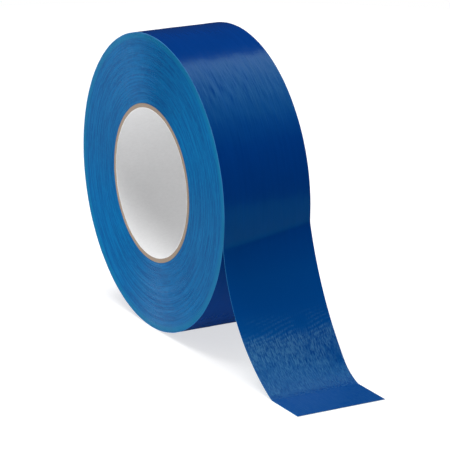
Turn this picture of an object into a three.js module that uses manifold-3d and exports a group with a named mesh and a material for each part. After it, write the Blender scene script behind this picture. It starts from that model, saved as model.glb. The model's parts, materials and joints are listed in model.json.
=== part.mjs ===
// A 48 mm roll of blue cloth tape on a 3 inch paper core. It stands on its rim, and its free end is
// drawn off one side, runs down in an S and lies flat on the floor.
// Millimetres, +Z up. The roll's axis is parallel to Y, the free end runs out along +X, and the origin
// is where the rim rests on the floor, under the axis.
import * as THREE from "three";
import { mergeVertices } from "three/addons/utils/BufferGeometryUtils.js";
import Module from "manifold-3d";

// Driving dimensions
const TAPE_WIDTH = 48;
const ROLL_RADIUS = 76.2; // over the last turn, where the free end leaves it
const CORE_BORE_RADIUS = 38.1; // standard 3 inch core
const FACETS = 72; // of every ring, with one flat facet straight below the axis

// The tape's own layers, from its outer, glossy side inwards
const TAPE_LAYERS = [
  { name: "film", thickness: 0.09 },
  { name: "scrim", thickness: 0.06 },
  { name: "adhesive", thickness: 0.09 },
];
const TAPE_THICKNESS = TAPE_LAYERS.reduce((sum, layer) => sum + layer.thickness, 0);

// The core's plies, from the bore outwards. Each is a strip wound as a helix whose edges butt together.
const CORE_PLIES = [
  { name: "core_liner", thickness: 0.3, seamAt: 200, colour: 0xe9e8e6 },
  { name: "core_ply_1", thickness: 0.475, seamAt: 20, colour: 0x9b7f63 },
  { name: "core_ply_2", thickness: 0.475, seamAt: 95, colour: 0x8f7459 },
  { name: "core_ply_3", thickness: 0.475, seamAt: 165, colour: 0x9b7f63 },
  { name: "core_ply_4", thickness: 0.475, seamAt: 245, colour: 0x8f7459 },
  { name: "core_outer_ply", thickness: 0.2, seamAt: 310, colour: 0xb08d66 },
];
const SEAM_PITCH = 110; // of the helix, for a strip about 100 mm wide
const SEAM_GAP = 0.4;
const SEAM_STEPS = 16;

// The last turn and the free end
const PEEL_ANGLE = 6; // degrees below the horizontal through the axis, where the free end leaves
const LAST_TURN_SWEEP = 354; // degrees that the last turn covers, back from the peel line
const WIND_CLEARANCE = 0.1; // between the wound tape and the last turn
const PEEL_BEND_RADIUS = 12; // the tape bends sharply off the roll, then gently, then to land
const PEEL_BEND = 20; // degrees
const MIDDLE_SLOPE = 47; // degrees of fall where the gentle bend meets the landing bend
const LANDING_SLOPE = 23; // degrees of fall where it meets the floor, at the crease
const CREASE_X = 123.4;
const END_LENGTH = 23.6; // flat on the floor, past the crease
const FLEX_SHARE = 0.45; // where the hinge in its middle is, as a share of the way to the crease
const HINGE_GAP = 0.25; // left on each side of a bend line in the free end
const PATH_STEP = 4; // longest chord along a curved stretch

const COLOURS = { film: 0x0c4f97, scrim: 0xc9d3dc, adhesive: 0x7f9db8, wound: 0x135f9f };

const wasm = await Module();
wasm.setup();

const radians = THREE.MathUtils.degToRad;
const facetAngle = 360 / FACETS;
const coreRadius = CORE_PLIES.reduce((sum, ply) => sum + ply.thickness, CORE_BORE_RADIUS);
const woundRadius = ROLL_RADIUS - 2 * TAPE_THICKNESS - WIND_CLEARANCE;

// Angles round the roll are in degrees from +X towards +Z, over the top.
const peelAngle = -PEEL_ANGLE;

// Radius of the last turn's outer side, one tape thickness less after each whole turn.
function lastTurnRadius(angle) {
  return ROLL_RADIUS - (TAPE_THICKNESS * (angle - peelAngle)) / 360;
}

// The axis is as high as the lower corner of the facet that rests on the floor makes it.
const restAngle = 270 - facetAngle / 2;
const axisHeight = lastTurnRadius(restAngle) * Math.cos(radians(facetAngle / 2));

function material(colour, roughness) {
  return new THREE.MeshStandardMaterial({ color: colour, roughness, metalness: 0 });
}

function mesh(name, geometry, colour, roughness) {
  const made = new THREE.Mesh(geometry, material(colour, roughness));
  made.name = name;
  return made;
}

// A plain ring about the Y axis, as wide as the tape.
function ring(innerRadius, outerRadius) {
  const half = TAPE_WIDTH / 2;
  const profile = [
    new THREE.Vector2(innerRadius, -half),
    new THREE.Vector2(outerRadius, -half),
    new THREE.Vector2(outerRadius, half),
    new THREE.Vector2(innerRadius, half),
    new THREE.Vector2(innerRadius, -half),
  ];
  return new THREE.LatheGeometry(profile, FACETS, radians(facetAngle / 2));
}

function toSolid(geometry) {
  const bare = geometry.clone();
  bare.deleteAttribute("normal");
  bare.deleteAttribute("uv");
  const merged = mergeVertices(bare, 1e-4);
  return new wasm.Manifold(
    new wasm.Mesh({
      numProp: 3,
      vertProperties: merged.attributes.position.array,
      triVerts: new Uint32Array(merged.index.array),
    }),
  );
}

function toGeometry(solid) {
  const made = solid.getMesh();
  const geometry = new THREE.BufferGeometry();
  geometry.setAttribute("position", new THREE.BufferAttribute(made.vertProperties, made.numProp));
  geometry.setIndex(new THREE.BufferAttribute(made.triVerts, 1));
  geometry.computeVertexNormals();
  return geometry;
}

// The gap along a ply's butt seam: a slim bar at the ply's radius, twisted into a helix about the axis.
function seamBar(innerRadius, outerRadius, seamAt) {
  const overcut = 1;
  const bar = new THREE.BoxGeometry(
    outerRadius - innerRadius + overcut,
    TAPE_WIDTH + overcut,
    SEAM_GAP,
    1,
    SEAM_STEPS,
    1,
  );
  bar.translate((innerRadius + outerRadius) / 2, 0, 0);
  const position = bar.attributes.position;
  const axis = new THREE.Vector3(0, 1, 0);
  const point = new THREE.Vector3();
  for (let i = 0; i < position.count; i += 1) {
    point.fromBufferAttribute(position, i);
    point.applyAxisAngle(axis, radians(seamAt + (360 * point.y) / SEAM_PITCH));
    position.setXYZ(i, point.x, point.y, point.z);
  }
  return bar;
}

function corePly(ply, innerRadius) {
  const outerRadius = innerRadius + ply.thickness;
  const whole = toSolid(ring(innerRadius, outerRadius));
  const seam = toSolid(seamBar(innerRadius, outerRadius, ply.seamAt));
  return mesh(ply.name, toGeometry(whole.subtract(seam)), ply.colour, 0.9);
}

// The plies lie one on the other from the bore out.
function paperCore() {
  const core = new THREE.Group();
  let innerRadius = CORE_BORE_RADIUS;
  for (const ply of CORE_PLIES) {
    core.add(corePly(ply, innerRadius));
    innerRadius += ply.thickness;
  }
  return core;
}

// All the turns under the last one, bonded to each other: one ring from the core to the last turn.
function woundTape() {
  return mesh("wound_tape", ring(coreRadius, woundRadius), COLOURS.wound, 0.6);
}

// A stretch of tape is a list of stations along its outer side, in the roll's XZ plane about the axis.
// Each has the outward normal there, and a layer's sides are the stations moved in by a depth.
function station(x, z, normalX, normalZ) {
  return { at: new THREE.Vector2(x, z), normal: new THREE.Vector2(normalX, normalZ) };
}

function lastTurnStations() {
  const hingeAngle = THREE.MathUtils.radToDeg(HINGE_GAP / ROLL_RADIUS);
  const first = peelAngle + hingeAngle;
  const last = peelAngle + LAST_TURN_SWEEP;
  const angles = [first];
  for (let angle = facetAngle / 2; angle < last - 1; angle += facetAngle) {
    angles.push(angle);
  }
  angles.push(last);
  return angles.map((angle) => {
    const x = Math.cos(radians(angle));
    const z = Math.sin(radians(angle));
    const radius = lastTurnRadius(angle);
    return station(x * radius, z * radius, x, z);
  });
}

// The free end's middle line, three bends from the peel line to the crease. Headings are in radians,
// 0 along +X and negative downwards. The last two radii are the ones that end it at the crease.
function freeEndPath() {
  const middleRadius = ROLL_RADIUS - TAPE_THICKNESS / 2;
  const start = new THREE.Vector2(middleRadius, 0).rotateAround(
    new THREE.Vector2(),
    radians(peelAngle),
  );
  const end = new THREE.Vector2(CREASE_X, TAPE_THICKNESS / 2 - axisHeight);
  const tangent = peelAngle - 90;
  const headings = [tangent, tangent + PEEL_BEND, -MIDDLE_SLOPE, -LANDING_SLOPE].map(radians);
  // How far each bend goes along X and Z for a radius of one.
  const reach = headings.slice(1).map((heading, i) => ({
    x: Math.sin(heading) - Math.sin(headings[i]),
    z: Math.cos(headings[i]) - Math.cos(heading),
  }));
  const [peel, gentle, landing] = reach;
  const leftX = end.x - start.x - PEEL_BEND_RADIUS * peel.x;
  const leftZ = end.y - start.y - PEEL_BEND_RADIUS * peel.z;
  const share = gentle.x * landing.z - gentle.z * landing.x;
  const gentleRadius = (leftX * landing.z - leftZ * landing.x) / share;
  const landingRadius = (gentle.x * leftZ - gentle.z * leftX) / share;
  const bends = [PEEL_BEND_RADIUS, gentleRadius, landingRadius].map((radius, i) => ({
    radius,
    length: radius * (headings[i + 1] - headings[i]),
  }));
  return { start, heading: headings[0], bends };
}

const path = freeEndPath();
const creaseAt = path.bends.reduce((sum, bend) => sum + bend.length, 0);
const flexAt = FLEX_SHARE * creaseAt;

// The point and heading of the free end's middle line, a length along it from the peel line.
function pathAt(length) {
  const point = path.start.clone();
  let heading = path.heading;
  let left = length;
  for (const bend of path.bends) {
    const stretch = THREE.MathUtils.clamp(left, 0, bend.length);
    const turn = stretch / bend.radius;
    point.x += bend.radius * (Math.sin(heading + turn) - Math.sin(heading));
    point.y += bend.radius * (Math.cos(heading) - Math.cos(heading + turn));
    heading += turn;
    left -= stretch;
  }
  return { point, heading };
}

// Stations over a stretch of the free end, from one length along it to another.
function freeEndStations(from, to) {
  const steps = Math.ceil((to - from) / PATH_STEP);
  return Array.from({ length: steps + 1 }, (_, i) => {
    const { point, heading } = pathAt(from + ((to - from) * i) / steps);
    const normalX = -Math.sin(heading);
    const normalZ = Math.cos(heading);
    const lift = TAPE_THICKNESS / 2;
    return station(point.x + normalX * lift, point.y + normalZ * lift, normalX, normalZ);
  });
}

// The end that lies flat on the floor, past the crease.
function flatEndStations() {
  const top = TAPE_THICKNESS - axisHeight;
  return [
    station(CREASE_X + HINGE_GAP, top, 0, 1),
    station(CREASE_X + END_LENGTH, top, 0, 1),
  ];
}

// One layer of a stretch of tape, between two depths under its outer side, extruded over the width.
function layerGeometry(stations, fromDepth, toDepth) {
  const side = (depth) =>
    stations.map(({ at, normal }) => at.clone().addScaledVector(normal, -depth));
  const outline = [...side(fromDepth), ...side(toDepth).reverse()];
  const shape = new THREE.Shape(outline);
  const geometry = new THREE.ExtrudeGeometry(shape, { depth: TAPE_WIDTH, bevelEnabled: false });
  geometry.rotateX(Math.PI / 2);
  geometry.translate(0, TAPE_WIDTH / 2, 0);
  return geometry;
}

function tapeStretch(name, stations) {
  const stretch = new THREE.Group();
  let depth = 0;
  for (const layer of TAPE_LAYERS) {
    const geometry = layerGeometry(stations, depth, depth + layer.thickness);
    stretch.add(mesh(`${name}_${layer.name}`, geometry, COLOURS[layer.name], 0.45));
    depth += layer.thickness;
  }
  return stretch;
}

const roll = new THREE.Group();
roll.position.z = axisHeight;
roll.add(paperCore());
roll.add(woundTape());
roll.add(tapeStretch("last_turn", lastTurnStations()));
roll.add(tapeStretch("tail_upper", freeEndStations(HINGE_GAP, flexAt - HINGE_GAP)));
roll.add(tapeStretch("tail_lower", freeEndStations(flexAt + HINGE_GAP, creaseAt - HINGE_GAP)));
roll.add(tapeStretch("tail_end", flatEndStations()));

export default roll;
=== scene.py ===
"""Looks of a roll of blue cloth tape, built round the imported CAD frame.

Metres, +Z up. The roll's axis is parallel to Y and its free end runs out along +X. On the tape,
"across" is along Y, and "along" is the length from the reference line, towards the free end.
"""

import json
import math

import bmesh
import bpy
import numpy as np
from mathutils import Matrix, Vector

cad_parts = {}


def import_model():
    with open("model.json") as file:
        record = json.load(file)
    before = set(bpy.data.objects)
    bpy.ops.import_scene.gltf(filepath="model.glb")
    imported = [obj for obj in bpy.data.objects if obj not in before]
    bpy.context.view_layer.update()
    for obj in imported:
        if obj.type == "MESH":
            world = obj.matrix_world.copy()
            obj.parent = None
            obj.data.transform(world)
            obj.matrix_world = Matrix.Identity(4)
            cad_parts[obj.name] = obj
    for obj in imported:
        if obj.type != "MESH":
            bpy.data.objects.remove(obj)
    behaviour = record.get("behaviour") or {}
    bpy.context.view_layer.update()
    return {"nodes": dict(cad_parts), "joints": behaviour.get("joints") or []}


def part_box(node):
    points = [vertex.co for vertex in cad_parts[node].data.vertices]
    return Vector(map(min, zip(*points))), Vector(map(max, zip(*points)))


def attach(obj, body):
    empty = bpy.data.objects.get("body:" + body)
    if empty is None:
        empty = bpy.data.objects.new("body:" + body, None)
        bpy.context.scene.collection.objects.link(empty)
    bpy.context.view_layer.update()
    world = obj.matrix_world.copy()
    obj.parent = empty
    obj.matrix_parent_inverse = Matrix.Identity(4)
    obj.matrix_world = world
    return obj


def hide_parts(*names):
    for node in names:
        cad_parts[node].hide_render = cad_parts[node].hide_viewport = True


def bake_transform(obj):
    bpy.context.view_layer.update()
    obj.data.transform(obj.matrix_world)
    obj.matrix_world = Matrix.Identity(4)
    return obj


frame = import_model()
joints = {joint["name"]: joint for joint in frame["joints"]}

# Driving dimensions, in metres and degrees
FILM, SCRIM, ADHESIVE = 0.00009, 0.00006, 0.00009  # the tape's layers, from its outer side inwards
TAPE = FILM + SCRIM + ADHESIVE
TURNS = 149  # revolutions of the spiral on the core; its first and last taper, so it is 148 thick
WARP_PITCH = 0.00127  # of the scrim's lengthwise yarns
WEFT_PITCH = 0.0024  # of its crosswise yarns
SKIN = 0.000002  # left between the tape's layers
BOND_GAP = 0.00003  # left under the last turn
GROOVE_DEPTH = 0.00017  # between the wound turns, at both faces of the roll

# The free end is let down a little further at the near edge than at the far one, so that each edge
# has its own line. Each pair is the value at the near edge and at the far edge.
PEEL_BELOW = (8.5, 3.5)  # degrees below the horizontal through the axis
PEEL_BEND = (18.5, 20.7)  # degrees of the sharp bend off the roll
PEEL_BEND_RADIUS = 0.012
MIDDLE_SLOPE = (45.0, 48.4)  # degrees of fall where the gentle bend meets the landing bend
LANDING_SLOPE = (27.5, 19.0)  # degrees of fall where the landing bend meets the foot bend
FOOT_SLOPE = (19.0, 13.0)  # degrees of fall where the foot bend meets the crease
FOOT_RADIUS = 0.016
CREASE_RADIUS = 0.0025
LANDING_FROM, LANDING_TO = 0.056, 0.093  # the crumpled stretch, along the tape

# Distances between a mesh's points
FILM_ACROSS = WARP_PITCH / 4
SCRIM_ACROSS = 0.0008
UPPER_ALONG, TAIL_ALONG = 0.0004, 0.0006
TURN_ALONG = 0.0008
TURN_LAYER_ACROSS, TURN_LAYER_ALONG = 0.004, 0.0016
SAME_PLACE = 0.0000005  # points nearer than this are one

CUT_BLUE = (0.004, 0.19, 0.47)  # of the tape's side walls, where it was slit
FLOOR_GLOW = 0.66  # of a floor lit from below, which keeps its shadows pale
FLOOR_LEVEL = -0.00014  # just under the relief of the tape that rests on it
FLOOR_RADIUS = 0.75
ROOM_FRONT, ROOM_BACK = 0.5, 0.14  # from all round on every surface, most from the near face's side
ROOM_LEFT, ROOM_RIGHT = 0.018, 0.01  # what gloss mirrors of the room, on the -X side and the +X side


def radial_distances(node):
    """Least and greatest distance of a CAD node's corners from the roll's axis."""
    points = np.array([v.co for v in frame["nodes"][node].data.vertices])
    distance = np.hypot(points[:, 0], points[:, 2] - AXIS_Z)
    return distance.min(), distance.max()


AXIS_Z = joints["unwind"]["pos_m"][2]
CREASE_X = joints["end_fold"]["pos_m"][0]
NEAR_Y, FAR_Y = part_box("wound_tape")[0].y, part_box("wound_tape")[1].y
TAIL_END_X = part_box("tail_end_film")[1].x
ROLL_RADIUS = radial_distances("last_turn_film")[1]
CORE_RADIUS, WOUND_RADIUS = radial_distances("wound_tape")


# ---------------------------------------------------------------- small helpers


def noise(x, y, seed):
    """Smooth noise from -1 to 1 with one cell per unit, the same in every run."""
    left, low = np.floor(x), np.floor(y)
    right_share, high_share = x - left, y - low
    right_share = right_share * right_share * (3 - 2 * right_share)
    high_share = high_share * high_share * (3 - 2 * high_share)

    def corner(i, j):
        value = np.sin((left + i) * 127.1 + (low + j) * 311.7 + seed * 74.7) * 43758.5453
        return 2 * (value - np.floor(value)) - 1

    bottom = corner(0, 0) * (1 - right_share) + corner(1, 0) * right_share
    top = corner(0, 1) * (1 - right_share) + corner(1, 1) * right_share
    return bottom * (1 - high_share) + top * high_share


def smooth_step(value, start, end):
    share = np.clip((value - start) / (end - start), 0, 1)
    return share * share * (3 - 2 * share)


def between(pair, share):
    """The value at a share of the way from the near edge to the far one."""
    return pair[0] + (pair[1] - pair[0]) * share


def round_axis(radius, angle, across):
    """Points about the roll's axis; angles in radians from +X towards +Z."""
    return np.stack(
        [radius * np.cos(angle), across + 0 * angle, AXIS_Z + radius * np.sin(angle)], axis=-1
    )


def make_piece(name, points, faces, uv=None, sharp=35):
    """An object of these points and faces, shaded smooth but for edges sharper than an angle."""
    mesh = bpy.data.meshes.new(name)
    mesh.from_pydata(points.tolist(), [], faces)
    mesh.polygons.foreach_set("use_smooth", [True] * len(mesh.polygons))
    mesh.set_sharp_from_angle(angle=math.radians(sharp))
    if uv is not None:
        corners = np.zeros(len(mesh.loops), np.int32)
        mesh.loops.foreach_get("vertex_index", corners)
        layer = mesh.uv_layers.new(name="tape")
        layer.data.foreach_set("uv", uv[corners].astype(np.float32).ravel())
    piece = bpy.data.objects.new(name, mesh)
    bpy.context.scene.collection.objects.link(piece)
    return piece


def grid_faces(rows, columns, first=0):
    """Quads of a grid of points whose rows follow one another, facing rows x columns."""
    index = first + np.arange(rows * columns).reshape(rows, columns)
    quads = np.stack([index[:-1, :-1], index[1:, :-1], index[1:, 1:], index[:-1, 1:]], axis=-1)
    return quads.reshape(-1, 4).tolist()


def rim_of(index):
    """The indices round the outside of a grid, once round."""
    return np.concatenate([index[0, :-1], index[:-1, -1], index[-1, :0:-1], index[:0:-1, 0]])


def slab(name, fine, plain, uv, facing, strips=False):
    """A closed thin piece between two grids of points. Its fine side faces out, or in.

    With strips, the plain side is one strip the whole width of the piece for each row.
    """
    rows, columns = fine.shape[:2]
    count = rows * columns
    top = np.arange(count).reshape(rows, columns)
    points = np.concatenate([fine.reshape(-1, 3), plain.reshape(-1, 3)])
    back = top + count
    faces = grid_faces(rows, columns)
    if strips:
        faces.append([*back[0, ::-1].tolist(), int(back[1, 0]), int(back[1, -1])][::-1])
        for row in range(1, rows - 2):
            faces.append(
                [int(back[row, 0]), int(back[row, -1]), int(back[row + 1, -1]), int(back[row + 1, 0])]
            )
        faces.append([int(back[-2, 0]), int(back[-2, -1]), *back[-1, ::-1].tolist()])
    else:
        faces += [face[::-1] for face in grid_faces(rows, columns, count)]
    around, around_back = rim_of(top).tolist(), rim_of(back).tolist()
    for i in range(len(around)):
        faces.append([around[i], around[i - 1], around_back[i - 1], around_back[i]])
    if facing == "in":
        faces = [face[::-1] for face in faces]
    uvs = np.concatenate([uv.reshape(-1, 2)] * 2)
    if strips:
        used = np.zeros(len(points), bool)
        used[:count] = True
        used[around_back] = True
        number = np.cumsum(used) - 1
        points, uvs = points[used], uvs[used]
        faces = [[int(number[i]) for i in face] for face in faces]
    return make_piece(name, points, faces, uvs)


# ---------------------------------------------------------------- the tape's own shape


def last_turn_radius(angle):
    """Radius of the last turn's outer side; the tape winds inwards by its thickness each turn."""
    return ROLL_RADIUS - TAPE * angle / (2 * math.pi)


def tape_relief(across, along):
    """How far the film stands proud of its mean surface, where the cloth under it shows through."""
    warp = np.cos(2 * math.pi * across / WARP_PITCH)
    weft = np.cos(2 * math.pi * along / WEFT_PITCH)
    weave = 0.000004 * (warp + 0.8 * weft)
    on_roll = 1 - 0.8 * smooth_step(along, 0.004, 0.016)
    streaks = 0.000016 * noise(across / 0.0008, along / 0.004, 1)
    streaks += 0.000022 * noise(across / 0.0014, along / 0.012, 2)
    streaks += 0.000045 * noise(across / 0.0030, along / 0.006, 3)
    landing = landing_share(along)
    wrinkles = 0.000022 * noise(across / 0.0008, along / 0.0016, 6)
    wrinkles += 0.000034 * noise(across / 0.0013, along / 0.0030, 7)
    wrinkles += 0.000050 * noise(across / 0.0040, along / 0.0060, 8)
    return weave + on_roll * streaks + 0.000024 * ripples(across, along) + landing * wrinkles


def ripples(across, along):
    """Slanting ripples from -1 to 1 in patches, where the free end's bend changes way."""
    middle = smooth_step(along, 0.046, 0.054) * (1 - smooth_step(along, 0.061, 0.069))
    phase = (along + 0.25 * across) / 0.0021 + 0.5 * noise(along / 0.006, across / 0.010, 4)
    patches = smooth_step(noise(across / 0.008, along / 0.006, 5), -0.7, 0.3)
    return middle * patches * np.sin(2 * math.pi * phase)


def painted_highlight(across, along):
    """Painted highlight, from 0 to 1: how far the film is painted paler on its crumpled stretch and in
    its ripples, for the light they catch, and a little on the flat end.
    """
    pale = 0.62 + 0.30 * noise(across / 0.0009, along / 0.0028, 6)
    pale += 0.20 * noise(across / 0.0018, along / 0.0050, 7)
    pale += 0.28 * noise(across / 0.0100, along / 0.0110, 9)
    pale = pale * (1 - 0.6 * smooth_step(along, 0.066, LANDING_TO - 0.006)) * landing_share(along)
    # Painted light: the flat end is painted a little paler as well.
    flat = 0.15 * smooth_step(along, LANDING_TO, LANDING_TO + 0.002)
    return np.clip(pale + 0.3 * ripples(across, along) + flat, 0, 1)


def scrim_relief(across, along):
    """The cloth's yarns, as they stand out through the adhesive on the tape's underside."""
    warp = np.cos(2 * math.pi * across / WARP_PITCH)
    weft = np.cos(2 * math.pi * along / WEFT_PITCH)
    return -0.00001 * (warp + 0.7 * weft)


def landing_share(along):
    """1 where the free end has been crumpled, on its last stretch before the crease, and 0 elsewhere."""
    return smooth_step(along, LANDING_FROM, LANDING_FROM + 0.007) * (
        1 - smooth_step(along, LANDING_TO - 0.003, LANDING_TO)
    )


class TailLine:
    """The free end's outer side. It runs from the reference line, level with the roll's axis, round
    the roll to the peel line, through a sharp, a gentle, a landing and a foot bend to the crease,
    and flat from there."""

    def __init__(self, share):
        self.share = share
        self.radius = last_turn_radius(0)
        peel = np.radians(between(PEEL_BELOW, share))
        headings = [-math.pi / 2, -math.pi / 2 - peel]
        headings.append(headings[1] + np.radians(between(PEEL_BEND, share)))
        headings.append(-np.radians(between(MIDDLE_SLOPE, share)))
        headings.append(-np.radians(between(LANDING_SLOPE, share)))
        headings.append(-np.radians(between(FOOT_SLOPE, share)))
        headings.append(0 * peel)
        self.headings = headings
        radii = [-self.radius, PEEL_BEND_RADIUS, None, None, FOOT_RADIUS, CREASE_RADIUS]
        reach = [
            (np.sin(b) - np.sin(a), np.cos(a) - np.cos(b))
            for a, b in zip(headings[:-1], headings[1:])
        ]
        left_x = CREASE_X - self.radius
        left_z = TAPE - AXIS_Z
        for radius, (x, z) in zip(radii, reach):
            if radius is not None:
                left_x = left_x - radius * x
                left_z = left_z - radius * z
        (x2, z2), (x3, z3) = reach[2], reach[3]
        area = x2 * z3 - z2 * x3
        radii[2] = (left_x * z3 - left_z * x3) / area
        radii[3] = (x2 * left_z - z2 * left_x) / area
        self.radii = radii
        self.lengths = [r * (b - a) for r, a, b in zip(radii, headings[:-1], headings[1:])]
        self.bent = sum(self.lengths)
        self.flat = TAIL_END_X - CREASE_X

    def at(self, length):
        """Points (x, z) and headings at these lengths along each line."""
        x = self.radius + 0 * length
        z = AXIS_Z + 0 * length
        heading = self.headings[0] + 0 * length
        left = length
        for radius, stretch in zip(self.radii, self.lengths):
            turn = np.clip(left, 0, stretch) / radius
            x = x + radius * (np.sin(heading + turn) - np.sin(heading))
            z = z + radius * (np.cos(heading) - np.cos(heading + turn))
            heading = heading + turn
            left = left - stretch
        beyond = np.maximum(left, 0)
        return x + beyond * np.cos(heading), z + beyond * np.sin(heading), heading


def tail_surface(start, end, across, step, depth, relief):
    """Grid of points and UVs over a stretch of the free end, at a depth under its outer side.

    start and end count shares of the bent part, and whole ones past it shares of the flat part.
    """
    share = (across - NEAR_Y) / (FAR_Y - NEAR_Y)
    line = TailLine(share[None, :])
    middle = TailLine(np.array([[0.5]]))
    middle_bent = middle.bent.item()

    def length(part, bent, flat):
        return np.minimum(part, 1) * bent + np.maximum(part - 1, 0) * flat

    total = length(end, middle_bent, middle.flat) - length(start, middle_bent, middle.flat)
    parts = np.linspace(start, end, max(2, round(total / step) + 1))
    if start < 1 < end:
        bent = length(1, middle_bent, middle.flat) - length(start, middle_bent, middle.flat)
        first = np.linspace(start, 1, max(2, round(bent / step) + 1))
        second = np.linspace(1, end, max(2, round((total - bent) / step) + 1))
        parts = np.concatenate([first, second[1:]])
    parts = parts[:, None]
    x, z, heading = line.at(length(parts, line.bent, line.flat))
    along = length(parts, middle_bent, middle.flat) + 0 * x
    out = relief(across[None, :], along) - depth
    points = np.stack(
        [x - out * np.sin(heading), across[None, :] + 0 * x, z + out * np.cos(heading)], axis=-1
    )
    return points, np.stack([across[None, :] + 0 * x, along], axis=-1)


def across_lines(step):
    return np.linspace(NEAR_Y, FAR_Y, round((FAR_Y - NEAR_Y) / step) + 1)


def last_turn_surface(across, step, radius_at, relief):
    """Grid of points and UVs round the roll, from the reference line back to under the peel line."""
    share = (across - NEAR_Y) / (FAR_Y - NEAR_Y)
    finish = 2 * math.pi - np.radians(between(PEEL_BELOW, share)[None, :] + 0.4)
    rows = round(2 * math.pi * ROLL_RADIUS / step)
    angle = np.linspace(0, 1, rows)[:, None] * finish
    along = -angle * ROLL_RADIUS
    radius = radius_at(angle) + relief(across[None, :], along)
    points = round_axis(radius, angle, across[None, :] + 0 * angle)
    return points, np.stack([across[None, :] + 0 * angle, along], axis=-1)


def no_relief(across, along):
    return 0 * (across + along)


# ---------------------------------------------------------------- pieces


def last_turn_film():
    across = across_lines(FILM_ACROSS)
    fine, uv = last_turn_surface(across, TURN_ALONG, last_turn_radius, tape_relief)
    plain, _ = last_turn_surface(
        across, TURN_ALONG, lambda a: last_turn_radius(a) - FILM, no_relief
    )
    return slab("last_turn_film_look", fine, plain, uv, "in", strips=True)


def last_turn_layer(name, outer_depth, inner_radius):
    """One hidden layer of the last turn, from a depth under its outer side to a radius."""
    across = across_lines(TURN_LAYER_ACROSS)
    outer, uv = last_turn_surface(
        across, TURN_LAYER_ALONG, lambda a: last_turn_radius(a) - outer_depth - SKIN, no_relief
    )
    inner, _ = last_turn_surface(across, TURN_LAYER_ALONG, inner_radius, no_relief)
    return slab(name, outer, inner, uv, "in")


# Name, the stretch it covers in shares as in tail_surface, and the two bodies it bends between
TAIL_PARTS = (
    ("tail_upper", 0.0, 0.25, ("last_turn", "tail_upper")),
    ("tail_lower", 0.25, 0.70, ("tail_upper", "tail_lower")),
    ("tail_end", 0.70, 2.0, ("tail_lower", "tail_end")),
)


def tail_layer(part, start, end, layer, top, bottom, relief):
    """One layer of a stretch of the free end, between two depths, with a relief for each side."""
    across = across_lines(SCRIM_ACROSS if layer == "scrim" else FILM_ACROSS)
    step = UPPER_ALONG if part == "tail_upper" else TAIL_ALONG
    fine, uv = tail_surface(start, end, across, step, top, relief[0])
    plain, _ = tail_surface(start, end, across, step, bottom, relief[1])
    piece = slab(f"{part}_{layer}_look", fine, plain, uv, "out")
    if layer == "film":
        # The film's outer points carry the share of painted highlight for its material.
        pale = painted_highlight(uv[..., 0], uv[..., 1]).ravel()
        mark = piece.data.attributes.new("painted_highlight", "FLOAT", "POINT")
        mark.data.foreach_set("value", np.concatenate([pale, 0 * pale]).astype(np.float32))
    return piece


def wound_tape():
    """Points and faces of one strip of tape wound into a spiral. Its edges stand a little proud
    and back from turn to turn, with a groove between turns."""
    steps = 160
    pitch = (WOUND_RADIUS - CORE_RADIUS) / (TURNS - 1)
    index = np.arange(steps * (TURNS + 1) + 1)
    turn = index / steps
    groove = CORE_RADIUS + pitch * np.clip(turn - 1, 0, TURNS - 1)
    groove_angle = 2 * math.pi * turn
    count = steps * TURNS + 1
    crest = (groove[:count] + groove[steps:]) / 2
    parts = []
    for side, seed in ((NEAR_Y, 11), (FAR_Y, 12)):
        outwards = np.sign(side)
        step_in = 0.00003 * (1 + noise(turn[:count] * 1.37, 0 * turn[:count], seed))
        step_in += 0.00001 * (1 + noise(turn[:count] / 7, 0 * turn[:count], seed + 5))
        crest_y = side - outwards * step_in
        groove_y = side - outwards * GROOVE_DEPTH + 0 * groove
        parts.append(round_axis(groove, groove_angle, groove_y))
        parts.append(round_axis(crest, groove_angle[:count], crest_y))
    faces = []
    offset = 0
    rings = []
    for side_parts, outwards in ((parts[:2], -1), (parts[2:], 1)):
        g, c = offset, offset + len(side_parts[0])  # where this side's groove and crest points start
        offset = c + len(side_parts[1])
        i = np.arange(count - 1)
        low = np.stack([g + i, c + i, c + i + 1, g + i + 1], axis=-1)
        high = np.stack([c + i, g + i + steps, g + i + steps + 1, c + i + 1], axis=-1)
        quads = np.concatenate([low, high])
        if outwards > 0:
            quads = quads[:, ::-1]
        faces += quads.tolist()
        rings.append((g + np.arange(steps + 1), g + steps * TURNS + np.arange(steps + 1)))
    (near_inner, near_outer), (far_inner, far_outer) = rings
    for a, b in ((near_inner, far_inner), (far_outer, near_outer)):
        for i in range(steps):
            faces.append([int(a[i]), int(a[i + 1]), int(b[i + 1]), int(b[i])])
    return np.concatenate(parts), faces


def wound_tape_piece():
    """The wound turns, with each point's direction from the axis and its distance in millimetres
    for the material."""
    points, faces = wound_tape()
    piece = make_piece("wound_tape_look", points, faces, sharp=60)
    tidy_up(piece)
    mesh = piece.data
    places = np.zeros(len(mesh.vertices) * 3)
    mesh.vertices.foreach_get("co", places)
    places = places.reshape(-1, 3)
    x, z = places[:, 0], places[:, 2] - AXIS_Z
    radius = np.hypot(x, z)
    ring = np.stack([x / radius, z / radius, radius * 1000], axis=-1)
    layer = mesh.attributes.new("ring", "FLOAT_VECTOR", "POINT")
    layer.data.foreach_set("vector", ring.astype(np.float32).ravel())
    return piece


def tidy_up(piece):
    """Joins points that lie on each other, and drops what that flattens."""
    made = bmesh.new()
    made.from_mesh(piece.data)
    bmesh.ops.remove_doubles(made, verts=made.verts, dist=SAME_PLACE)
    bmesh.ops.dissolve_degenerate(made, edges=made.edges, dist=SAME_PLACE / 5)
    bmesh.ops.recalc_face_normals(made, faces=made.faces)
    made.to_mesh(piece.data)
    made.free()


CORE_PLIES = (
    "core_liner",
    "core_ply_1",
    "core_ply_2",
    "core_ply_3",
    "core_ply_4",
    "core_outer_ply",
)
SEAM_PITCH = 0.11
SEAM_AT = dict(zip(CORE_PLIES, (200, 20, 95, 165, 245, 310)))
SEAM_GAP = 0.00004
PLY_GAP = 0.00002  # left on each side of a ply


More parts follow.
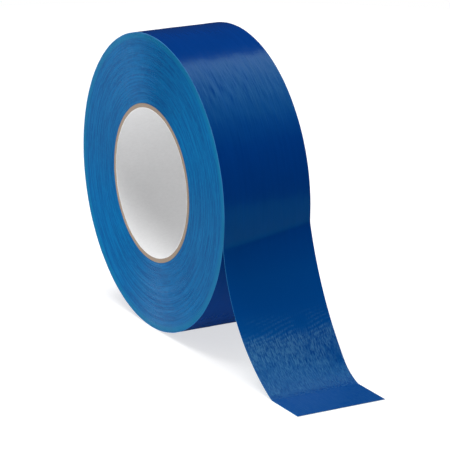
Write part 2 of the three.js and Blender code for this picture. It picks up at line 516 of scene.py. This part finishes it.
def core_ply(node):
    """One ply: a strip wound as a helix whose edges butt, with fuzzy cut edges at both ends."""
    inner, outer = radial_distances(node)
    seed = CORE_PLIES.index(node) + 20
    around = np.linspace(0, 1, 193)[:, None]
    level = np.linspace(0, 1, 13)[None, :]
    near = NEAR_Y + 0.00005 * noise(around * 90, 0 * around, seed)
    far = FAR_Y + 0.00005 * noise(around * 90, 0 * around + 7, seed)
    across = near + (far - near) * level
    sweep = 2 * math.pi - SEAM_GAP / inner
    angle = math.radians(SEAM_AT[node]) + 2 * math.pi * across / SEAM_PITCH + around * sweep
    wobble = 0.00002 * noise(around * 40 + 0 * level, level * 6 + 0 * around, seed + 40)
    inside = round_axis(inner + PLY_GAP + wobble, angle, across)
    outside = round_axis(outer - PLY_GAP + wobble, angle, across)
    uv = np.stack([across + 0 * angle, angle * inner], axis=-1)
    return slab(f"{node}_look", outside, inside, uv, "in")


# ---------------------------------------------------------------- materials


def new_material(name):
    material = bpy.data.materials.new(name)
    material.use_nodes = True
    return material, material.node_tree, material.node_tree.nodes["Principled BSDF"]


def add(tree, kind, values=None, **settings):
    node = tree.nodes.new(kind)
    for key, value in settings.items():
        setattr(node, key, value)
    for key, value in (values or {}).items():
        node.inputs[key].default_value = value
    return node


def scaled(tree, source, scale):
    node = add(tree, "ShaderNodeMapping", {"Scale": scale})
    tree.links.new(source, node.inputs["Vector"])
    return node.outputs["Vector"]


def noise_node(tree, vector, scale, detail=2.0):
    node = add(tree, "ShaderNodeTexNoise", {"Scale": 1.0, "Detail": detail, "Roughness": 0.6})
    tree.links.new(scaled(tree, vector, scale), node.inputs["Vector"])
    return node.outputs["Fac"]


def map_range(tree, source, low, high, start=0.3, end=0.7):
    node = add(
        tree,
        "ShaderNodeMapRange",
        {"From Min": start, "From Max": end, "To Min": low, "To Max": high},
    )
    tree.links.new(source, node.inputs["Value"])
    return node.outputs["Result"]


def split_up(tree, vector):
    """The X, Y and Z outputs of a vector."""
    split = add(tree, "ShaderNodeSeparateXYZ")
    tree.links.new(vector, split.inputs["Vector"])
    return split.outputs["X"], split.outputs["Y"], split.outputs["Z"]


def mix_colours(tree, factor, first, second):
    node = add(tree, "ShaderNodeMix", data_type="RGBA")
    tree.links.new(factor, node.inputs["Factor"])
    for slot, colour in (("A", first), ("B", second)):
        socket = next(s for s in node.inputs if s.name == slot and s.type == "RGBA")
        if isinstance(colour, tuple):
            socket.default_value = (*colour, 1)
        else:
            tree.links.new(colour, socket)
    return next(s for s in node.outputs if s.type == "RGBA")


def bump(tree, shader, height, distance, strength=1.0, before=None):
    node = add(tree, "ShaderNodeBump", {"Strength": strength, "Distance": distance})
    tree.links.new(height, node.inputs["Height"])
    if before is not None:
        tree.links.new(before, node.inputs["Normal"])
    tree.links.new(node.outputs["Normal"], shader.inputs["Normal"])
    return node.outputs["Normal"]


def tape_uv(tree):
    return add(tree, "ShaderNodeUVMap", uv_map="tape").outputs["UV"]


def calculate(tree, operation, *values):
    node = add(tree, "ShaderNodeMath", operation=operation)
    for socket, value in zip(node.inputs, values):
        tree.links.new(value, socket)
    return node.outputs["Value"]


def sum_of(tree, first, second):
    return calculate(tree, "ADD", first, second)


def product_of(tree, first, second):
    return calculate(tree, "MULTIPLY", first, second)


def cut_edge(tree, across):
    """1 on the matt side walls of the tape, where it was slit, and 0 over its width."""
    from_middle = calculate(tree, "ABSOLUTE", across)
    return map_range(tree, from_middle, 0, 1, FAR_Y - 0.00004, FAR_Y - 0.00001)


def film_material():
    material, tree, shader = new_material("tape_film")
    uv = tape_uv(tree)
    streak = noise_node(tree, uv, (700, 22, 1), 3)
    cloud = noise_node(tree, uv, (60, 35, 1), 2)
    dull, bright = (0.0002, 0.032, 0.185), (0.0003, 0.036, 0.208)
    tone = mix_colours(tree, map_range(tree, streak, 0, 1), dull, bright)
    tone = mix_colours(tree, map_range(tree, cloud, 0, 0.5), tone, (0.0002, 0.029, 0.172))
    across, along, _ = split_up(tree, uv)
    # Painted light: off the roll the film is painted lighter and greener, for the light the free end
    # catches.
    off_roll = map_range(tree, along, 0, 1, 0.004, 0.03)
    tone = mix_colours(tree, off_roll, tone, (0.0003, 0.045, 0.208))
    crumpled = product_of(
        tree,
        map_range(tree, along, 0, 1, LANDING_FROM, LANDING_FROM + 0.006),
        map_range(tree, along, 1, 0, LANDING_TO, LANDING_TO + 0.0015),
    )
    crackle = noise_node(tree, uv, (1500, 330, 1), 4)
    # Painted shade: the crumpled stretch is painted darker in a crackle pattern, for its wrinkles'
    # facets that face away from the light.
    painted_crackle_shade = product_of(tree, crumpled, map_range(tree, crackle, 0.6, 0, 0.34, 0.54))
    tone = mix_colours(tree, painted_crackle_shade, tone, (0.0002, 0.02, 0.15))
    # Painted highlight: the film is painted a paler blue where the painted highlight share and the
    # crackle are high.
    pale = add(tree, "ShaderNodeAttribute", attribute_name="painted_highlight").outputs["Fac"]
    pale = product_of(tree, pale, map_range(tree, crackle, 0, 1.7, 0.38, 0.64))
    tone = mix_colours(tree, pale, tone, (0.029, 0.108, 0.265))
    cut = cut_edge(tree, across)
    tone = mix_colours(tree, cut, tone, CUT_BLUE)
    tree.links.new(tone, shader.inputs["Base Color"])
    roughness = sum_of(
        tree,
        map_range(tree, streak, 0.12, 0.19),
        map_range(tree, along, 0.05, 0.25, LANDING_TO, LANDING_TO + 0.002),
    )
    roughness = sum_of(tree, roughness, map_range(tree, cut, 0, 0.4, 0, 1))
    tree.links.new(roughness, shader.inputs["Roughness"])
    shader.inputs["Specular IOR Level"].default_value = 0.35
    shader.inputs["Specular Tint"].default_value = (0.02, 0.8, 0.95, 1)
    grain = noise_node(tree, uv, (2600, 1300, 1), 2)
    creases = noise_node(tree, uv, (1500, 110, 1), 3)
    normal = bump(tree, shader, creases, 0.00005)
    normal = bump(tree, shader, product_of(tree, crumpled, crackle), 0.00022, before=normal)
    bump(tree, shader, grain, 0.000006, before=normal)
    return material


def yarns(tree, uv, way, pitch):
    """Narrow bands of 1, a pitch apart, over the middles of one set of the scrim's yarns."""
    node = add(
        tree,
        "ShaderNodeTexWave",
        {"Scale": math.pi / 10 / pitch, "Phase Offset": math.pi},
        bands_direction=way,
    )
    tree.links.new(uv, node.inputs["Vector"])
    return map_range(tree, node.outputs["Fac"], 0, 1, 0.78, 0.96)


def slit_walls(tree, uv, shader, tone, roughness, mat):
    """Colour and roughness of a layer, with the blue of the wound edges on its side walls. These
    are rougher than the layer by mat."""
    cut = cut_edge(tree, split_up(tree, uv)[0])
    tree.links.new(mix_colours(tree, cut, tone, CUT_BLUE), shader.inputs["Base Color"])
    roughness = sum_of(tree, roughness, map_range(tree, cut, 0, mat, 0, 1))
    tree.links.new(roughness, shader.inputs["Roughness"])


def scrim_material():
    material, tree, shader = new_material("tape_scrim")
    uv = tape_uv(tree)
    fibre = noise_node(tree, uv, (4000, 900, 1), 3)
    tone = mix_colours(tree, map_range(tree, fibre, 0, 1), (0.42, 0.51, 0.61), (0.52, 0.61, 0.71))
    slit_walls(tree, uv, shader, tone, map_range(tree, fibre, 0.8, 0.9), 0.0)
    bump(tree, shader, fibre, 0.00003)
    return material


def adhesive_material():
    material, tree, shader = new_material("tape_adhesive")
    uv = tape_uv(tree)
    patch = noise_node(tree, uv, (180, 120, 1), 3)
    tone = mix_colours(tree, map_range(tree, patch, 0, 1), (0.125, 0.235, 0.36), (0.16, 0.28, 0.41))
    for way, pitch, share in (("X", WARP_PITCH, 0.5), ("Y", WEFT_PITCH, 0.4)):
        band = map_range(tree, yarns(tree, uv, way, pitch), 0, share, 0, 1)
        tone = mix_colours(tree, band, tone, (0.3, 0.42, 0.54))
    slit_walls(tree, uv, shader, tone, map_range(tree, patch, 0.35, 0.5), 0.35)
    shader.inputs["Specular IOR Level"].default_value = 0.25
    bump(tree, shader, noise_node(tree, uv, (1500, 1500, 1), 2), 0.00001)
    return material


def wound_material():
    material, tree, shader = new_material("wound_tape")
    ring = add(tree, "ShaderNodeAttribute", attribute_name="ring").outputs["Vector"]
    bands = noise_node(tree, ring, (2.2, 2.2, 1.1), 4)
    fine = noise_node(tree, ring, (16, 16, 2.6), 3)
    # Painted light: the outer band of the face, from 72.2 mm out, is painted lighter, for light that its
    # outer turns catch.
    rim = map_range(tree, split_up(tree, ring)[2], 0, 1, 72.2, 74.0)
    arcs = map_range(tree, bands, 0, 1, 0.42, 0.58)
    flecks = map_range(tree, fine, 0, 0.6, 0.5, 0.66)
    tone = mix_colours(tree, arcs, (0.0003, 0.132, 0.395), (0.001, 0.202, 0.5))
    tone = mix_colours(tree, flecks, tone, (0.003, 0.26, 0.55))
    tone = mix_colours(tree, rim, tone, (0.004, 0.232, 0.475))
    tree.links.new(tone, shader.inputs["Base Color"])
    shader.inputs["Roughness"].default_value = 0.5
    shader.inputs["Specular Tint"].default_value = (0.75, 0.95, 0.8, 1)
    shader.inputs["Specular IOR Level"].default_value = 0.25
    bump(tree, shader, fine, 0.00004)
    return material


def paper_material():
    material, tree, shader = new_material("white_paper")
    place = add(tree, "ShaderNodeTexCoord").outputs["Object"]
    fibre = noise_node(tree, place, (900, 500, 900), 4)
    tone = mix_colours(tree, map_range(tree, fibre, 0, 1), (0.76, 0.76, 0.765), (0.8, 0.8, 0.805))
    tree.links.new(tone, shader.inputs["Base Color"])
    shader.inputs["Roughness"].default_value = 0.65
    bump(tree, shader, fibre, 0.00002)
    return material


def board_material():
    material, tree, shader = new_material("brown_board")
    place = add(tree, "ShaderNodeTexCoord").outputs["Object"]
    fibre = noise_node(tree, place, (2500, 2500, 2500), 3)
    tone = mix_colours(tree, map_range(tree, fibre, 0, 1), (0.25, 0.185, 0.13), (0.42, 0.33, 0.26))
    tree.links.new(tone, shader.inputs["Base Color"])
    shader.inputs["Roughness"].default_value = 0.9
    bump(tree, shader, fibre, 0.00004)
    return material


def floor_material():
    material, tree, shader = new_material("floor")
    shader.inputs["Base Color"].default_value = (0.4, 0.4, 0.4, 1)
    shader.inputs["Roughness"].default_value = 0.9
    shader.inputs["Emission Color"].default_value = (1, 1, 1, 1)
    mirrored = add(tree, "ShaderNodeLightPath").outputs["Is Glossy Ray"]
    glow = choose(tree, mirrored, FLOOR_GLOW, 0.0)
    tree.links.new(glow, shader.inputs["Emission Strength"])
    shader.inputs["Specular IOR Level"].default_value = 0.1
    return material


# ---------------------------------------------------------------- studio


def camera():
    """A long lens, in front of the near face's right and a little above."""
    data = bpy.data.cameras.new("camera")
    data.lens = 224.9
    data.sensor_width = 36
    data.clip_start, data.clip_end = 0.05, 20
    made = bpy.data.objects.new("camera", data)
    bpy.context.scene.collection.objects.link(made)
    yaw, pitch, roll = math.radians(60.87), math.radians(17.0), math.radians(0.18)
    forward = Vector(
        (-math.sin(yaw) * math.cos(pitch), math.cos(yaw) * math.cos(pitch), -math.sin(pitch))
    )
    made.rotation_mode = "QUATERNION"
    made.rotation_quaternion = forward.to_track_quat("-Z", "Y") @ Matrix.Rotation(
        roll, 3, "Z"
    ).to_quaternion()
    made.location = (1.2022, -0.6512, 0.46854)
    bpy.context.scene.camera = made


def aim(made, position, target):
    made.location = position
    made.rotation_mode = "QUATERNION"
    made.rotation_quaternion = (Vector(target) - Vector(position)).to_track_quat("-Z", "Y")


def direction(azimuth, elevation):
    """Unit vector; azimuth in degrees from +X towards +Y."""
    a, e = math.radians(azimuth), math.radians(elevation)
    return Vector((math.cos(a) * math.cos(e), math.sin(a) * math.cos(e), math.sin(e)))


def area_light(name, position, target, size, radiance, turn=0):
    """A rectangle that shines evenly, with a radiance on the scale of a white floor's 1."""
    data = bpy.data.lights.new(name, "AREA")
    data.shape = "RECTANGLE"
    data.size, data.size_y = size
    data.energy = radiance * math.pi * size[0] * size[1]
    made = bpy.data.objects.new(name, data)
    bpy.context.scene.collection.objects.link(made)
    aim(made, Vector(position), Vector(target))
    about_itself = Matrix.Rotation(math.radians(turn), 3, "Z").to_quaternion()
    made.rotation_quaternion = made.rotation_quaternion @ about_itself
    made.visible_camera = False


def panel(name, left, right, radiance, turn=0):
    """A stretch along X of the long softbox over the roll's far side."""
    middle = Vector(((left + right) / 2, 0, 0.07))
    place = middle + 1.1 * direction(90, 57)
    area_light(name, place, middle, (right - left, 0.45), radiance, turn)


def left_card():
    """A low panel on the left, which brightens the near face and most of all its left side."""
    area_light(
        "left_card",
        position=(-0.24, -0.125, 0.04),
        target=(-0.07, -0.02, 0.06),
        size=(0.15, 0.16),
        radiance=4.6,
    )


def sun(name, azimuth, elevation, strength, spread):
    """A distant light that leaves no highlight; its spread is in degrees."""
    data = bpy.data.lights.new(name, "SUN")
    data.energy = strength
    data.angle = math.radians(spread)
    made = bpy.data.objects.new(name, data)
    bpy.context.scene.collection.objects.link(made)
    aim(made, 3 * direction(azimuth, elevation), (0, 0, 0))
    made.visible_glossy = False
    made.visible_camera = False


def world():
    """White behind the object, an even dim light from all round, and little for it to mirror."""
    made = bpy.data.worlds.new("room")
    bpy.context.scene.world = made
    made.use_nodes = True
    tree = made.node_tree
    background = tree.nodes["Background"]
    way_x, way_y, _ = split_up(tree, add(tree, "ShaderNodeTexCoord").outputs["Generated"])
    mirrored = map_range(tree, way_x, ROOM_LEFT, ROOM_RIGHT, -0.7, 0.3)
    path = add(tree, "ShaderNodeLightPath")
    ambient = map_range(tree, way_y, ROOM_FRONT, ROOM_BACK, -0.8, 0.8)
    strength = choose(tree, path.outputs["Is Glossy Ray"], ambient, mirrored)
    strength = choose(tree, path.outputs["Is Camera Ray"], strength, 1.0)
    tree.links.new(strength, background.inputs["Strength"])
    background.inputs["Color"].default_value = (1, 1, 1, 1)


def choose(tree, factor, no, yes):
    pick = add(tree, "ShaderNodeMix", data_type="FLOAT")
    tree.links.new(factor, pick.inputs["Factor"])
    for slot, value in (("A", no), ("B", yes)):
        if isinstance(value, float):
            pick.inputs[slot].default_value = value
        else:
            tree.links.new(value, pick.inputs[slot])
    return pick.outputs["Result"]


def floor():
    """A round white table top, as bright as the white behind it."""
    angles = np.linspace(0, 2 * math.pi, 96, endpoint=False)
    corners = [
        (FLOOR_RADIUS * math.cos(a), FLOOR_RADIUS * math.sin(a), FLOOR_LEVEL) for a in angles
    ]
    mesh = bpy.data.meshes.new("floor")
    mesh.from_pydata(corners, [], [tuple(range(len(corners)))])
    made = bpy.data.objects.new("floor", mesh)
    bpy.context.scene.collection.objects.link(made)
    mesh.materials.append(floor_material())


# ---------------------------------------------------------------- putting it together


def finish_piece(piece, node, material):
    """Gives a piece its material and hides the CAD node it stands for."""
    piece.data.materials.append(material)
    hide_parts(node)


def build_core(paper, board):
    for node in CORE_PLIES:
        piece = core_ply(node)
        if node == "core_liner":
            finish_piece(piece, node, paper)
        else:
            finish_piece(piece, node, board)
        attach(piece, "roll")


def build_last_turn(materials):
    """The last turn's three layers."""
    film = last_turn_film()
    finish_piece(film, "last_turn_film", materials["film"])
    scrim = last_turn_layer(
        "last_turn_scrim_look", FILM, lambda a: last_turn_radius(a) - FILM - SCRIM
    )
    finish_piece(scrim, "last_turn_scrim", materials["scrim"])
    adhesive = last_turn_layer(
        "last_turn_adhesive_look", FILM + SCRIM, lambda a: WOUND_RADIUS + BOND_GAP + 0 * a
    )
    finish_piece(adhesive, "last_turn_adhesive", materials["adhesive"])
    for piece in (film, scrim, adhesive):
        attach(piece, "last_turn")


def build_tail(materials):
    """The free end, each layer of each stretch a sheet of its own."""
    line = TailLine(np.array([[0.5]]))
    layers = (
        ("film", 0, FILM, (tape_relief, no_relief)),
        ("scrim", FILM + SKIN, FILM + SCRIM, (no_relief, no_relief)),
        ("adhesive", FILM + SCRIM + SKIN, TAPE, (no_relief, scrim_relief)),
    )
    for part, start, end, bodies in TAIL_PARTS:
        for layer, top, bottom, relief in layers:
            piece = tail_layer(part, start, end, layer, top, bottom, relief)
            finish_piece(piece, f"{part}_{layer}", materials[layer])
            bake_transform(piece)
            stretch = (min(end, 1) - start) * line.bent.item() + max(end - 1, 0) * line.flat


def main():
    camera()
    world()
    floor()
    bpy.context.scene.view_settings.view_transform = "Standard"
    materials = {"film": film_material(), "scrim": scrim_material(), "adhesive": adhesive_material()}
    wound = wound_tape_piece()
    finish_piece(wound, "wound_tape", wound_material())
    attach(wound, "roll")
    build_core(paper_material(), board_material())
    build_last_turn(materials)
    build_tail(materials)
    panel("softbox", -0.38, 0.30, 2.15, turn=12)
    panel("softbox_side", 0.30, 0.64, 1.3)
    panel("softbox_edge", 0.64, 1.10, 0.4)
    left_card()
    sun("overhead", 225, 83, 2.85, 34)


main()
